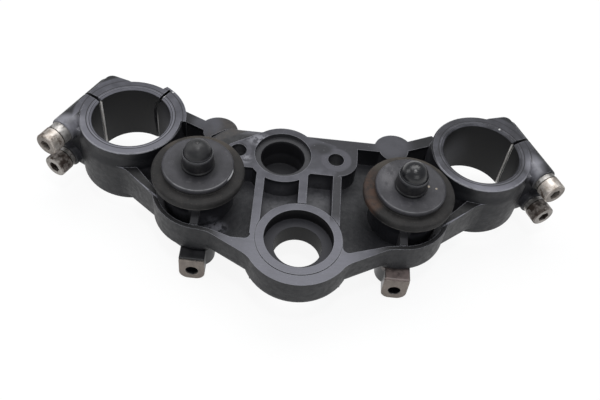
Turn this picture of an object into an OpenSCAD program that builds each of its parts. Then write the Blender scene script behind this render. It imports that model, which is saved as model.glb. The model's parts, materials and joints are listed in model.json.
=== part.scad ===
// Upper yoke of a motorcycle's forks, lying ribbed side up, with its rubber mounted handlebar risers.
// The origin is on the steering axis at the ribbed face. X runs along the yoke, Y towards the
// ignition lock, and Z out of the ribbed face. The risers hang below the smooth face.

/* [Fork clamps] */
// Distance between the two fork axes
fork_spacing = 196.2; // [190:0.2:202]
// Distance of the fork axes behind the steering axis
fork_offset = 64.2; // [62:0.2:68]
// Bore of each fork clamp
fork_bore_d = 43; // [39:0.5:44]
// Wall of the machined ring round each fork bore
ring_wall = 6.7; // [6.2:0.1:7.2]
// Wall of the cast clamp body below that ring
clamp_wall = 7.7; // [7.4:0.1:8.4]
// Height of each fork clamp along its bore
clamp_h = 37; // [35:0.5:40]
// How far the machined ring stands above the ribbed face
ring_rise = 10; // [8:0.5:12]
// Chamfer at both mouths of each fork bore
bore_chamfer = 1.2; // [0.4:0.1:1.6]

/* [Pinch joints] */
// Angle between each pinch slit and the X axis
slit_angle = 27.5; // [26:0.5:29]
// Width of each pinch slit
slit_w = 1.8; // [1.2:0.1:2.4]
// Distance of the pinch screws from the fork axis
screw_reach = 27.6; // [27.2:0.1:29]
// Distance between the two screws of a clamp
screw_pitch = 20; // [18:0.5:21]
// Height of the upper screw above the ribbed face
screw_z = 3; // [2:0.5:4]
// Thread diameter of the pinch screws
screw_d = 8; // [7:0.5:8]
// Clearance round the screw in its plain hole
screw_clear = 0.3; // [0.2:0.05:0.5]
// Diameter of the screw heads
head_d = 13; // [12:0.1:13.5]
// Height of the screw heads
head_h = 8; // [7:0.1:9]
// Socket size across its flats
socket_w = 6; // [5:0.1:6.5]
// Depth of the socket
socket_depth = 4.6; // [3:0.1:5]
// Radius of the rounded arm that holds the screws
arm_r = 7.3; // [6.9:0.1:7.6]
// Distance from the slit to the seat of the screw heads
arm_front = 25.8; // [25:0.1:28]
// Distance from the slit to the blind end of the arm, at its inner end
arm_back = 21.5; // [20.5:0.1:22]
// How far the screw bosses stand out of the web beside them
boss_proud = 3.8; // [2:0.1:5]
// Height of that web above the ribbed face
web_top = 5.5; // [3:0.5:7]
// Height of a spring washer
washer_t = 2.7; // [1.5:0.1:3]
// Height of the spring washer of the slack left upper screw
slack_washer_t = 5.2; // [3:0.1:5.4]

/* [Steering stem] */
// Diameter of the stem hole
stem_d = 25.6; // [22:0.1:26.4]
// Diameter of the nut seat above the stem hole
seat_d = 36.6; // [34:0.1:38]
// Depth of the nut seat
seat_depth = 7.7; // [6:0.1:9]
// Diameter of the machined ring round the nut seat
ring_line_d = 45.2; // [43:0.1:46]
// Width and depth of the turned line round that ring
ring_line = 0.5; // [0.3:0.1:0.6]
// Outer diameter of the stem boss
stem_boss_d = 57.8; // [56:0.2:60]

/* [Yoke plate] */
// Depth of the bosses below the ribbed face
plate_h = 19.5; // [18:0.5:20.5]
// How far the bosses stand below the floor of the yoke
boss_drop = 3; // [2:0.5:4]
// Depth of the pockets between the ribs
pocket_depth = 12.5; // [11:0.5:13]
// Thickness of the outer wall round the pockets
wall = 4.2; // [3.4:0.1:5]
// Thickness of the wall in front of each bush boss
thin_wall = 2.4; // [2:0.1:3]
// Width of the ribs
rib_w = 4.6; // [3.6:0.1:5.4]
// Distance of the straight back wall behind the steering axis
back_y = 71.8; // [71:0.2:73]
// Radius of the stem boss's rounded lower edge
foot_r = 5; // [3:0.5:6]

/* [Ignition lock seat] */
// Distance of the lock axis left of the steering axis
lock_x = -12.3; // [-13:0.1:-11.5]
// Distance of the lock axis behind the steering axis
lock_y = 56.4; // [55.8:0.1:57]
// Diameter of the lock recess at its mouth
lock_mouth_d = 31.6; // [30:0.1:32.4]
// Depth of that wider mouth
lock_mouth_depth = 2.8; // [1.5:0.1:4]
// Diameter of the lock bore
lock_bore_d = 24.8; // [22:0.1:26]
// Outer diameter of the lock boss
lock_boss_d = 40; // [39:0.2:41]
// Floor left under the lock bore
lock_floor = 2.5; // [2:0.1:4]
// Depth of the lock boss below the smooth face
lock_drop = 4.5; // [3:0.5:6]
// Distance between the two lock bolt holes
lock_bolt_pitch = 54.8; // [53:0.2:56]
// Distance of the middle of those holes left of the steering axis
lock_bolt_x = -9.9; // [-10.5:0.1:-9.3]
// Diameter of the lock bolt holes
lock_bolt_d = 9; // [8:0.1:9.6]
// Radius of the ears round the lock bolt holes
lock_ear_r = 12; // [11:0.1:12.6]

/* [Riser bushes] */
// Distance between the axes of the two handlebar risers
riser_spacing = 112; // [110:0.2:114]
// Distance of the riser axes behind the steering axis
riser_y = 29.3; // [28.5:0.1:30]
// Bore through each bush boss
bush_bore_d = 28; // [26:0.1:29]
// Outer diameter of each bush boss
bush_boss_d = 38; // [36:0.2:40]
// Height of the bush boss above the ribbed face
bush_boss_rise = 7; // [6:0.1:8]
// Diameter of the rubber bush's flange on the ribbed side
rubber_d = 49; // [47:0.2:49.6]
// Thickness of that flange
rubber_t = 5; // [4:0.1:6]
// Diameter of the raised seat on that flange
rubber_seat_d = 35; // [33:0.2:36]
// Height of that seat
rubber_seat_h = 1.4; // [1:0.1:2]
// Diameter of the rubber flange under the smooth face
under_rubber_d = 40; // [38:0.2:41]
// Thickness of that lower flange
under_rubber_t = 7; // [6:0.1:8]
// Gap between a rubber neck and its bore or sleeve
rubber_clear = 0.15; // [0.1:0.05:0.3]
// Diameter of the disc washer on each bush
disc_d = 37.6; // [36:0.1:39]
// Thickness of the disc washer
disc_t = 2.4; // [2:0.1:3]
// Wall of the spacer sleeve inside each bush
sleeve_wall = 2.2; // [1.6:0.1:2.6]
// Diameter of the riser's stud
stud_d = 14.1; // [13:0.1:14.6]
// Gap between the stud and what it passes through
stud_clear = 0.2; // [0.1:0.05:0.3]
// Wall of the round collar nut
collar_wall = 0.95; // [0.8:0.05:1.4]
// Height of the collar nut
collar_h = 9.3; // [8:0.1:10]

/* [Risers] */
// Diameter of the riser's round foot
riser_d = 36; // [34:0.2:38]
// Height of the riser's foot
riser_h = 12; // [10:0.5:14]
// Width of the lug in front of the foot
lug_w = 13.8; // [13:0.2:15]
// Distance of the lug inboard of the stud
lug_inset = 1; // [0:0.1:2]
// Distance of the lug's machined face in front of the steering axis
lug_face = 6; // [5:0.1:7]
// Thickness of the lug behind that face
lug_t = 10; // [8:0.2:11]
// Height of the bare machined face
lug_face_h = 16.5; // [15:0.1:18]
// Height of the machined face above the cast surface round it
lug_face_lift = 0.6; // [0.3:0.1:1]
// Diameter of the threaded hole in the lug, at its thread's crest
lug_hole_d = 6.6; // [6:0.1:7]
// Depth of that hole
lug_hole_depth = 9; // [6:0.5:9.4]
// Diameter of the round web behind the lug
web_d = 17.4; // [16:0.2:18]
// Distance of that web inboard of the stud
web_inset = 3; // [2:0.1:4]
// Gap between the riser's top and the boss above it
pad_gap = 0.6; // [0.3:0.1:1.5]

/* [Hidden] */

$fn = 96;
left = -1;
right = 1;
eps = 0.01;
deep = 60; // longer than any cut has to be

fork_x = fork_spacing / 2;
fork_bore_r = fork_bore_d / 2;
ring_r = fork_bore_r + ring_wall;
clamp_r = fork_bore_r + clamp_wall;
clamp_bottom = ring_rise - clamp_h;
clamp_edge = 2;
riser_x = riser_spacing / 2;
lower_screw_z = screw_z - screw_pitch;

stem_r = stem_boss_d / 2;
plate_z = -plate_h;
floor_z = plate_z + boss_drop;
floor_t = -pocket_depth - floor_z;

stud_r = stud_d / 2;
sleeve_bore_r = stud_r + stud_clear;
sleeve_r = sleeve_bore_r + sleeve_wall;
rubber_bore_r = sleeve_r + rubber_clear;
bush_bore_r = bush_bore_d / 2;
rubber_neck_r = bush_bore_r - rubber_clear;
rubber_top = bush_boss_rise + rubber_t;
disc_z = rubber_top + rubber_seat_h;
collar_z = disc_z + disc_t;
collar_top = collar_z + collar_h;
foot_z = plate_z - under_rubber_t; // top of the riser's foot
neck_split = (bush_boss_rise + plate_z) / 2; // where the two rubber necks meet

// Front wall: its knee beside the bush round, the round itself, and where it meets the clamp
bush_round_r = bush_bore_r + 13.5;
bush_round = [riser_x - 3.5, riser_y - 2.8];
knee = [riser_x - 9, bush_round[1] - bush_round_r - 0.9];
wall_run = 29; // slope of the wall between the stem boss and the knee
wall_start = knee[1] - (knee[0] - stem_r + 6) * tan(wall_run); // its start inside the stem boss
hip = [riser_x + 22, bush_round[1] - 8.8];
clamp_meet = [fork_x - 1.5, fork_offset - clamp_r - 0.5];

// Back wall: the round pad behind each bush, and the arm to the clamp
back_pad_r = 11.2;
back_pad = [riser_x - 5.8, back_y - 3.1];
arm_root = [fork_x - 25.5, fork_offset + 18.6];
arm_notch = [back_pad[0] + 8.3, back_pad[1] + 7.5];
back_corner = back_pad[0] - 10.2;

function unit(a) = [cos(a), sin(a)];
function heading(v) = atan2(v[1], v[0]);
function arc(centre, r, from, to, steps) =
    [for (i = [0 : steps]) centre + r * unit(from + (to - from) * i / steps)];

// Rounds each corner [x, y, r] of an outline with its own radius
function rounded(corners) = [for (i = [0 : len(corners) - 1])
    let (n = len(corners),
         here = corners[i],
         before = corners[(i + n - 1) % n],
         after = corners[(i + 1) % n],
         p = [here[0], here[1]],
         u = ([before[0], before[1]] - p) / norm([before[0], before[1]] - p),
         v = ([after[0], after[1]] - p) / norm([after[0], after[1]] - p),
         half = acos(max(-1, min(1, u * v))) / 2,
         r = here[2],
         centre = p + (u + v) / norm(u + v) * r / sin(half),
         start = heading(p + u * r / tan(half) - centre),
         end = heading(p + v * r / tan(half) - centre),
         turn = (end - start + 540) % 360 - 180)
    for (q = r == 0 ? [p] : arc(centre, r, start, start + turn, 6)) q];

// Fills the inside corner between a round boss and a straight wall with a fillet.
// The wall passes through p and leaves the boss in direction a, with the open side on the given side.
// The fillet's ends are sunk a little into the boss and the wall, so that it never ends paper thin.
module cove(centre, boss_r, p, a, r, open_side = right, sink = 0.15) {
    out = open_side * [sin(a), -cos(a)];
    gap = (p - centre) * out - 0.06;
    reach = boss_r - sink + r;
    along = sqrt(pow(reach, 2) - pow(gap + r, 2));
    c = centre + out * (gap + r) + unit(a) * along;
    on_wall = heading(-out);
    turn = (on_wall - heading(centre - c) + 540) % 360 - 180;
    polygon(concat(arc(c, r, on_wall - turn, on_wall, 8), [centre + unit(a) * along]));
}

module both_sides() {
    children();
    mirror([1, 0, 0]) children();
}

// Right half of the plate's outline, from the steering axis round to the back wall
module half_plate() {
    polygon(rounded([
        [0, -10, 0],
        [stem_r - 6, wall_start, 0],
        [knee[0], knee[1], 6],
        [bush_round[0], bush_round[1] - bush_round_r, 0],
        [bush_round[0] + 12, bush_round[1] - 12, 0],
        [hip[0], hip[1], 6],
        [clamp_meet[0], clamp_meet[1], 0],
        [fork_x, fork_offset, 0],
        [arm_root[0], arm_root[1], 0],
        [arm_notch[0], arm_notch[1], 1],
        [back_pad[0], back_pad[1], 0],
        [back_corner, back_y, 1.5],
        [0, back_y, 0]]));
    translate(bush_round) circle(r = bush_round_r);
    translate(back_pad) circle(r = back_pad_r);
    cove([0, 0], stem_r, knee, wall_run, 20);
    cove([fork_x, fork_offset], clamp_r, clamp_meet, heading(hip - clamp_meet), 16, left);
}

// Inner side of the right half of the outer wall
module half_hollow() {
    polygon(rounded([
        [0, -10, 0],
        [stem_r - 7, -8, 2],
        [knee[0] - 1, knee[1] + thin_wall - 0.3, 2],
        [bush_round[0], bush_round[1] - bush_round_r + thin_wall, 0],
        [bush_round[0] + 10, bush_round[1] - 8, 0],
        [hip[0] - 1.6, hip[1] + wall - 0.6, 2],
        [clamp_meet[0] - 4, clamp_meet[1] + wall, 1],
        [fork_x, fork_offset, 0],
        [arm_root[0] + 2, arm_root[1] - wall - 2.6, 1],
        [arm_notch[0] + 1, arm_notch[1] - wall - 2.8, 2],
        [back_pad[0], back_y - wall - 1.6, 0],
        [0, back_y - wall - 1.6, 0]]));
    translate(bush_round) circle(r = bush_round_r - thin_wall);
}

// Rounded corners of the two front pockets beside the stem, the left one cut short by its rib
module front_corners() {
    polygon(rounded([[-20, 8, 0], [-25.4, 8, 0], [-25.2, -3.4, 3], [-35.2, -3.5, 0], [-31, -9, 0], [-20, -11, 0]]));
    polygon(rounded([[20, 2, 0], [22.9, 2, 0], [23, -7.5, 3.2], [30, -5.4, 0], [30, -11, 0], [20, -11, 0]]));
}

// What stands up inside the hollow to the ribbed face, apart from the bosses that turn
module web_plan() {
    rib_reach = lock_y - lock_boss_d / 2;
    for (x = [-23.4, 0.2, 18.6])
        translate([x - rib_w / 2, 0]) square([rib_w, rib_reach + 8]);
    circle(d = ring_line_d + ring_line);
    translate([lock_x, lock_y]) circle(d = lock_boss_d);
    lock_flange_plan();
    front_corners();
    both_sides() {
        translate([riser_x - 1 - rib_w / 2, riser_y - bush_round_r]) square([rib_w - 0.6, bush_round_r]);
        translate(back_pad) circle(r = back_pad_r - 2.8);
        translate([riser_x, riser_y]) circle(d = bush_boss_d);
    }
}

// Flat ears round the lock's bolt holes, joined across the lock boss and to the back wall
module lock_flange_plan() {
    ear = lock_bolt_pitch / 2;
    translate([lock_bolt_x, lock_y]) polygon(rounded([
        [-ear - lock_ear_r, -lock_ear_r, lock_ear_r - 0.5],
        [ear + lock_ear_r, -lock_ear_r, lock_ear_r - 0.5],
        [ear + lock_ear_r, back_y - lock_y - 1, 0],
        [-ear - lock_ear_r, back_y - lock_y - 1, 0]]));
}

// Cuts the quarter-round lower edge along a straight wall from p to q, with the yoke on its left
module rolled_edge(p, q) {
    run = q - p;
    translate([p[0], p[1], floor_z + floor_t]) rotate(heading(run)) rotate([90, 0, 90])
        linear_extrude(norm(run)) polygon(concat(
            arc([floor_t, 0], floor_t, 180, 270, 6),
            [[floor_t, -floor_t - 2], [-2, -floor_t - 2], [-2, 0]]));
}

// Outer wall between the bush round and the fork clamp, deeper towards the clamp
module outer_gusset() {
    from = hip - [1.5, 1];
    run = clamp_meet - from;
    reach = norm(run) + 4;
    thick = wall + 5;
    intersection() {
        translate([0, 0, floor_z - 7]) linear_extrude(-floor_z + 6) {
            translate(from) rotate(heading(run)) translate([-2, 0]) square([reach + 2, thick]);
            cove([fork_x, fork_offset], clamp_r, clamp_meet, heading(-run), 14, left);
        }
        translate([from[0], from[1], 0]) rotate(heading(run)) translate([0, thick + 1, 0]) rotate([90, 0, 0])
            linear_extrude(thick + 12) polygon([[-3, 0], [reach + 1, 0], [reach + 1, floor_z - 5.5], [-3, floor_z - 0.8]]);
    }
}

// Pockets between the ribs, cut from the ribbed face
module pockets() {
    translate([0, 0, -pocket_depth]) linear_extrude(pocket_depth + 1) difference() {
        both_sides() half_hollow();
        web_plan();
    }
}

module plate() {
    difference() {
        union() {
            rounded_plate();
            round_foot(stem_r, plate_z, 0, foot_r);
        }
        pockets();
    }
    both_sides() translate([bush_round[0], bush_round[1], 0])
        round_foot(bush_round_r, plate_z, -pocket_depth - 0.5, 2.5);
}

// The solid plate with its rounded lower front edge
module rounded_plate() {
    difference() {
        union() {
            translate([0, 0, floor_z]) linear_extrude(-floor_z) both_sides() half_plate();
            both_sides() outer_gusset();
        }
        both_sides() rolled_edge([stem_r - 6, wall_start], knee + 4 * unit(wall_run));
    }
}

// Solid of revolution about Z from z = low to high, with a rounded lower edge
module round_foot(r, low, high, edge) {
    rotate_extrude() polygon(concat(
        [[0, low]],
        arc([r - edge, low + edge], edge, -90, 0, 6),
        [[r, high], [0, high]]));
}

// One fork clamp: the cast body, a shoulder, and the machined ring at the top
module clamp_body() {
    rotate_extrude() polygon(concat(
        [[0, clamp_bottom]],
        arc([clamp_r - clamp_edge, clamp_bottom + clamp_edge], clamp_edge, -90, 0, 8),
        [[clamp_r, -1.5]],
        [for (i = [0 : 6]) let (t = i / 6, s = t * t * (3 - 2 * t))
            [clamp_r + (ring_r - clamp_r) * s, -1.5 + 6.5 * t]],
        [[ring_r, ring_rise - 0.8], [ring_r - 0.8, ring_rise], [0, ring_rise]]));
}

// Places its children at the slit of one clamp: X along the slit outwards, Y along the screws
// towards their blind end, with the fork axis at the origin.
module at_clamp(side) {
    mirror([side == left ? 1 : 0, 0, 0])
        translate([fork_x, fork_offset, 0]) rotate(slit_angle) children();
}

// Boss round one pinch screw, along Y, rounded at the seat of the head and at its blind end
module screw_boss() {
    seat_edge = 1.2;
    blind_edge = 5;
    blind = arm_back - 2.6;
    rotate([90, 0, 0]) rotate_extrude() polygon(concat(
        [[0, -blind]],
        arc([arm_r - blind_edge, blind_edge - blind], blind_edge, -90, 0, 8),
        arc([arm_r - seat_edge, arm_front - seat_edge], seat_edge, 0, 90, 4),
        [[0, arm_front]]));
}

// Upright section of the web that joins the two screw bosses to the clamp
module web_section() {
    low = lower_screw_z - arm_r + 1;
    translate([fork_bore_r - 7, low]) square([screw_reach - fork_bore_r + 7, web_top - low]);
    translate([screw_reach - 1, lower_screw_z]) square([arm_r + 0.6, screw_pitch]);
}

// Arm of the pinch screws: two bosses on a web, and a block level with the ring behind the slit
module clamp_arm() {
    low = lower_screw_z - arm_r + 1.5;
    flat = screw_reach + 2.8;
    intersection() {
        for (z = [screw_z, lower_screw_z]) translate([screw_reach, 0, z]) screw_boss();
        translate([-deep, -deep, ring_rise - 0.15 - 2 * deep]) cube(2 * deep);
    }
    translate([0, arm_back - 5, 0]) rotate([90, 0, 0])
        linear_extrude(arm_back - 5 + arm_front - boss_proud) web_section();
    translate([0, 0, low]) linear_extrude(ring_rise - low) polygon(rounded([
        [0, -8, 0], [flat, -8, 0], [flat, arm_back - 2.2, 4],
        [screw_reach - 9, arm_back, 2], [-5, arm_back + 1, 0]]));
}

module screw_holes() {
    for (z = [screw_z, lower_screw_z]) translate([screw_reach, 0, z]) rotate([90, 0, 0]) {
        cylinder(d = screw_d + 2 * screw_clear, h = arm_front + 1);
        translate([0, 0, -arm_back + 5]) cylinder(d = screw_d + 0.1, h = arm_back);
    }
}

// The second, narrow cut in the left clamp, which wanders in the bore and ends inside the ring
module wandering_cut() {
    path = [[-3.2, ring_rise + 1], [-1.6, ring_rise - 4], [0.9, 4], [2.4, -3],
        [2.6, -11], [2.1, -18], [1.8, clamp_bottom - 1]];
    cut_w = 1.7;
    translate([-fork_x, fork_offset, 0]) rotate(58) translate([fork_bore_r - 2, 0, 0])
        rotate([90, 0, 90]) linear_extrude(ring_wall + 2.9) polygon(concat(
            [for (p = path) p - [cut_w / 2, 0]],
            [for (i = [len(path) - 1 : -1 : 0]) path[i] + [cut_w / 2, 0]]));
}

// Swelling of the left ring beside that cut
module ring_swelling() {
    translate([-fork_x, fork_offset, clamp_bottom + 2]) linear_extrude(clamp_h - 2) intersection() {
        circle(r = ring_r + 2.1);
        polygon(rounded([[0, 0, 0], [ring_r + 6, 0, 0], [ring_r + 1.7, 18, 1],
            [ring_r * 0.62, ring_r * 0.98, 2], [9, 19, 0]]));
    }
}

module fork_bore() {
    top = ring_rise;
    translate([0, 0, clamp_bottom - 1]) cylinder(r = fork_bore_r, h = clamp_h + 2);
    translate([0, 0, top - bore_chamfer])
        cylinder(r1 = fork_bore_r, r2 = fork_bore_r + bore_chamfer + eps, h = bore_chamfer + eps);
    translate([0, 0, clamp_bottom - eps])
        cylinder(r1 = fork_bore_r + bore_chamfer + eps, r2 = fork_bore_r, h = bore_chamfer + eps);
    // fine turned step beside the chamfer
    translate([0, 0, top - 0.3]) cylinder(r = fork_bore_r + bore_chamfer + 1, h = 1);
}

module bush_boss() {
    edge = 1;
    r = bush_boss_d / 2;
    rotate_extrude() polygon(concat(
        [[0, plate_z], [r, plate_z], [r, bush_boss_rise - edge]],
        arc([r - edge, bush_boss_rise - edge], edge, 0, 90, 4),
        [[0, bush_boss_rise]]));
}

// Rough dip between the lock flange and the left pad, falling away from the back edge
module back_dip() {
    ear_x = lock_bolt_x - lock_bolt_pitch / 2;
    intersection() {
        translate([0, 0, -9]) linear_extrude(10) polygon(rounded([
            [ear_x + 12.2, back_y + 2, 0], [ear_x + 11.7, back_y - 0.3, 0], [ear_x - 5.6, lock_y + 3.8, 3],
            [ear_x - 8, lock_y - 5, 0], [ear_x - 19, lock_y - 3, 0], [ear_x - 16.2, lock_y + 8.6, 2],
            [ear_x - 9.6, lock_y + 14, 2], [ear_x - 3.2, back_y + 2, 0]]));
        translate([0, back_y + 0.5, 0]) rotate([13, 0, 0]) translate([-deep, -deep, 0]) cube([2 * deep, 2 * deep, deep]);
    }
}

module yoke() {
    color([0.2, 0.2, 0.22]) difference() {
        union() {
            plate();
            translate([lock_x, lock_y, 0]) round_foot(lock_boss_d / 2, plate_z - lock_drop, 0, foot_r);
            both_sides() {
                translate([fork_x, fork_offset, 0]) clamp_body();
                translate([riser_x, riser_y, 0]) bush_boss();
            }
            for (side = [left, right]) at_clamp(side) clamp_arm();
            ring_swelling();
        }
        both_sides() {
            translate([fork_x, fork_offset, 0]) fork_bore();
            translate([riser_x, riser_y, plate_z - 1]) cylinder(r = bush_bore_r, h = plate_h + bush_boss_rise + 2);
        }
        for (side = [left, right]) at_clamp(side) {
            screw_holes();
            translate([fork_bore_r - 3, -slit_w / 2, -deep]) cube([deep, slit_w, 2 * deep]);
        }
        wandering_cut();
        back_dip();
        // stem hole, nut seat and the turned line round it
        translate([0, 0, plate_z - 1]) cylinder(d = stem_d, h = plate_h + 2);
        translate([0, 0, -seat_depth]) cylinder(d = seat_d, h = seat_depth + 1);
        translate([0, 0, -ring_line]) difference() {
            cylinder(d = ring_line_d + 2 * ring_line, h = 1);
            translate([0, 0, -1]) cylinder(d = ring_line_d, h = 3);
        }
        // lock recess
        translate([lock_x, lock_y, plate_z - lock_drop + lock_floor]) cylinder(d = lock_bore_d, h = deep);
        translate([lock_x, lock_y, -lock_mouth_depth]) cylinder(d = lock_mouth_d, h = deep);
        for (ear = [-0.5, 0.5])
            translate([lock_bolt_x + ear * lock_bolt_pitch, lock_y, plate_z - 1])
                cylinder(d = lock_bolt_d, h = plate_h + 2);
    }
}

// Socket head screw along -Y from its seat, with the tip towards +Y
module pinch_screw(seat, tip) {
    edge = 0.9;
    head_r = head_d / 2;
    color([0.66, 0.62, 0.57]) translate([0, -seat, 0]) rotate([-90, 0, 0]) difference() {
        rotate_extrude() polygon(concat(
            [[0, -head_h]],
            arc([head_r - edge, -head_h + edge], edge, -90, 0, 4),
            [[head_r, 0], [screw_d / 2, 0], [screw_d / 2, seat + tip - 1], [screw_d / 2 - 1, seat + tip], [0, seat + tip]]));
        translate([0, 0, -head_h - eps]) cylinder(d = socket_w / cos(30), h = socket_depth, $fn = 6);
    }
}

// Coiled spring washer: a ring with one slanting gap, its gap opened as far as its free height
module spring_washer(seat, t) {
    gap_at = 215;
    color([0.7, 0.67, 0.62]) translate([0, -seat, 0]) rotate([90, 0, 0]) difference() {
        cylinder(d = head_d - 0.6, h = t);
        translate([0, 0, -1]) cylinder(d = screw_d + 2 * screw_clear, h = t + 2);
        rotate(gap_at) translate([0, -0.5, -1]) cube([head_d, 1, t + 2]);
    }
}

function washer_of(side, upper) = side == left && upper ? slack_washer_t : washer_t;

module placed_screw(side, upper) {
    at_clamp(side) translate([screw_reach, 0, upper ? screw_z : lower_screw_z])
        pinch_screw(arm_front + washer_of(side, upper), arm_back - 8);
}

module placed_washer(side, upper) {
    at_clamp(side) translate([screw_reach, 0, upper ? screw_z : lower_screw_z])
        spring_washer(arm_front, washer_of(side, upper));
}

module at_riser(side) {
    translate([side * riser_x, riser_y, 0]) children();
}

// Flanged rubber bush on the ribbed side, with a seat that the disc washer presses on
module bush_rubber() {
    edge = 1.6;
    r = rubber_d / 2;
    color([0.16, 0.15, 0.14]) rotate_extrude() polygon(concat(
        [[rubber_bore_r, neck_split], [rubber_neck_r, neck_split], [rubber_neck_r, bush_boss_rise]],
        arc([r - edge, bush_boss_rise + edge], edge, -90, 0, 4),
        arc([r - edge, rubber_top - edge], edge, 0, 90, 4),
        [[rubber_seat_d / 2 + 0.8, rubber_top], [rubber_seat_d / 2, disc_z], [rubber_bore_r, disc_z]]));
}

module under_rubber() {
    edge = 1.5;
    r = under_rubber_d / 2;
    color([0.16, 0.15, 0.14]) rotate_extrude() polygon(concat(
        [[rubber_bore_r, foot_z]],
        arc([r - edge, foot_z + edge], edge, -90, 0, 4),
        arc([r - edge, plate_z - edge], edge, 0, 90, 4),
        [[rubber_neck_r, plate_z], [rubber_neck_r, neck_split], [rubber_bore_r, neck_split]]));
}

module spacer_sleeve() {
    color([0.5, 0.5, 0.5]) translate([0, 0, foot_z]) difference() {
        cylinder(r = sleeve_r, h = disc_z - foot_z);
        translate([0, 0, -1]) cylinder(r = sleeve_bore_r, h = disc_z - foot_z + 2);
    }
}

// Disc washer with a rolled rim and a slight dish towards its middle
module disc_washer() {
    r = disc_d / 2;
    edge = disc_t / 2 - 0.2;
    flat_r = sleeve_r + 1;
    color([0.36, 0.36, 0.39]) rotate_extrude() polygon(concat(
        [[sleeve_bore_r, disc_z], [rubber_seat_d / 2, disc_z]],
        arc([r - edge, disc_z + edge], edge, -60, 0, 3),
        arc([r - edge, collar_z + 0.4 - edge], edge, 0, 90, 4),
        [[flat_r, collar_z], [sleeve_bore_r, collar_z]]));
}

module collar_nut() {
    r = sleeve_bore_r + collar_wall;
    lip = 0.5;
    color([0.15, 0.15, 0.16]) rotate_extrude() polygon([
        [sleeve_bore_r, collar_z], [r + 0.5, collar_z], [r + 0.5, collar_z + 1], [r, collar_z + 1.6],
        [r, collar_top - lip], [r - lip / 2, collar_top], [sleeve_bore_r + lip / 2, collar_top],
        [sleeve_bore_r, collar_top - lip]]);
}

// Stud with a domed end, which stands through the bush
module riser_stud() {
    rotate_extrude() polygon(concat(
        [[0, foot_z - 1], [stud_r, foot_z - 1]],
        arc([0, collar_top], stud_r, 0, 90, 12)));
}

// Front lug: a rounded tongue with a bare machined face and a threaded hole
module lug_tongue() {
    half = lug_w / 2;
    corner = 5.5;
    low = foot_z - riser_h;
    top = plate_z - pad_gap;
    face_top = low + lug_face_h;
    translate([-lug_inset, lug_t - lug_face, 0]) rotate([90, 0, 0]) {
        linear_extrude(lug_t - lug_face_lift) polygon(rounded([
            [-half, low, corner], [half, low, corner], [half, top, 1], [-half, top, 1]]));
        linear_extrude(lug_t) polygon(rounded([
            [-half, low, corner], [half, low, corner], [half, face_top, 0.6], [-half, face_top, 0.6]]));
    }
}

// Riser of the right side: a round foot under the rubber, a web to the front, and the lug
module riser() {
    low = foot_z - riser_h;
    web_low = low + 5.3;
    web_y = web_d / 2 - 1.2;
    rubber_front = riser_y - under_rubber_d / 2 - 1.2;
    color([0.14, 0.14, 0.15]) difference() {
        union() {
            translate([0, riser_y, 0]) {
                riser_stud();
                round_foot(riser_d / 2, low, foot_z, 2);
            }
            translate([-web_inset, web_y, web_low]) {
                cylinder(d = web_d, h = foot_z - web_low);
                translate([-web_d / 2, 0, 0]) cube([web_d, riser_y - web_y, foot_z - web_low]);
            }
            intersection() {
                translate([-web_inset, web_y, web_low]) cylinder(d = web_d, h = plate_z - pad_gap - web_low);
                translate([-deep, rubber_front - deep, -deep]) cube([2 * deep, deep, 2 * deep]);
            }
            lug_tongue();
        }
        translate([-lug_inset, -lug_face - 1, low + lug_face_h * 0.44]) rotate([-90, 0, 0]) {
            cylinder(d = lug_hole_d, h = lug_hole_depth + 1);
            cylinder(d1 = lug_hole_d + 2.6, d2 = lug_hole_d, h = 1.3);
        }
    }
}

module placed_riser(side) {
    mirror([side == left ? 1 : 0, 0, 0]) translate([riser_x, 0, 0]) riser();
}

yoke();
placed_screw(left, true);  // left_upper_pinch_screw
placed_screw(left, false);  // left_lower_pinch_screw
placed_screw(right, true);  // right_upper_pinch_screw
placed_screw(right, false);  // right_lower_pinch_screw
placed_washer(left, true);  // left_upper_spring_washer
placed_washer(left, false);  // left_lower_spring_washer
placed_washer(right, true);  // right_upper_spring_washer
placed_washer(right, false);  // right_lower_spring_washer
at_riser(left) bush_rubber();  // left_bush_rubber
at_riser(right) bush_rubber();  // right_bush_rubber
at_riser(left) under_rubber();  // left_under_rubber
at_riser(right) under_rubber();  // right_under_rubber
at_riser(left) spacer_sleeve();  // left_spacer_sleeve
at_riser(right) spacer_sleeve();  // right_spacer_sleeve
at_riser(left) disc_washer();  // left_disc_washer
at_riser(right) disc_washer();  // right_disc_washer
at_riser(left) collar_nut();  // left_collar_nut
at_riser(right) collar_nut();  // right_collar_nut
placed_riser(left);  // left_riser
placed_riser(right);  // right_riser
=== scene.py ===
import json
import math

import bpy
from mathutils import Matrix, Vector


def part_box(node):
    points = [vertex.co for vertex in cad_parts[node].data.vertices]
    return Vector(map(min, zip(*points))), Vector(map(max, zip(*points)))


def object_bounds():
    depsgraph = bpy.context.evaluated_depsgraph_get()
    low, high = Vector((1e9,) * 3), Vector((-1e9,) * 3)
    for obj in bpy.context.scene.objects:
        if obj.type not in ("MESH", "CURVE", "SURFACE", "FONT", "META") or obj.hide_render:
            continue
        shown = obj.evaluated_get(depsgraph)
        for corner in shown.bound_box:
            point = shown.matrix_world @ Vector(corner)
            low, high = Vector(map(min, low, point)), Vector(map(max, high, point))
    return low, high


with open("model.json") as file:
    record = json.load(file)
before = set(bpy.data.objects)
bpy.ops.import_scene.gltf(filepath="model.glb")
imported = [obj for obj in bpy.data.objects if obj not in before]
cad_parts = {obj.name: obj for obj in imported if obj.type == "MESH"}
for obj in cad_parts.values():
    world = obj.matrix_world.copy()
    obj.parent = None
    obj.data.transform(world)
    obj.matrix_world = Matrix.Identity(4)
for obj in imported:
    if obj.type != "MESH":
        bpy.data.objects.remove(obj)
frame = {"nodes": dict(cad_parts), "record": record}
cadBox = [list(c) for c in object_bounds()]
nodes = frame["nodes"]
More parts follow.
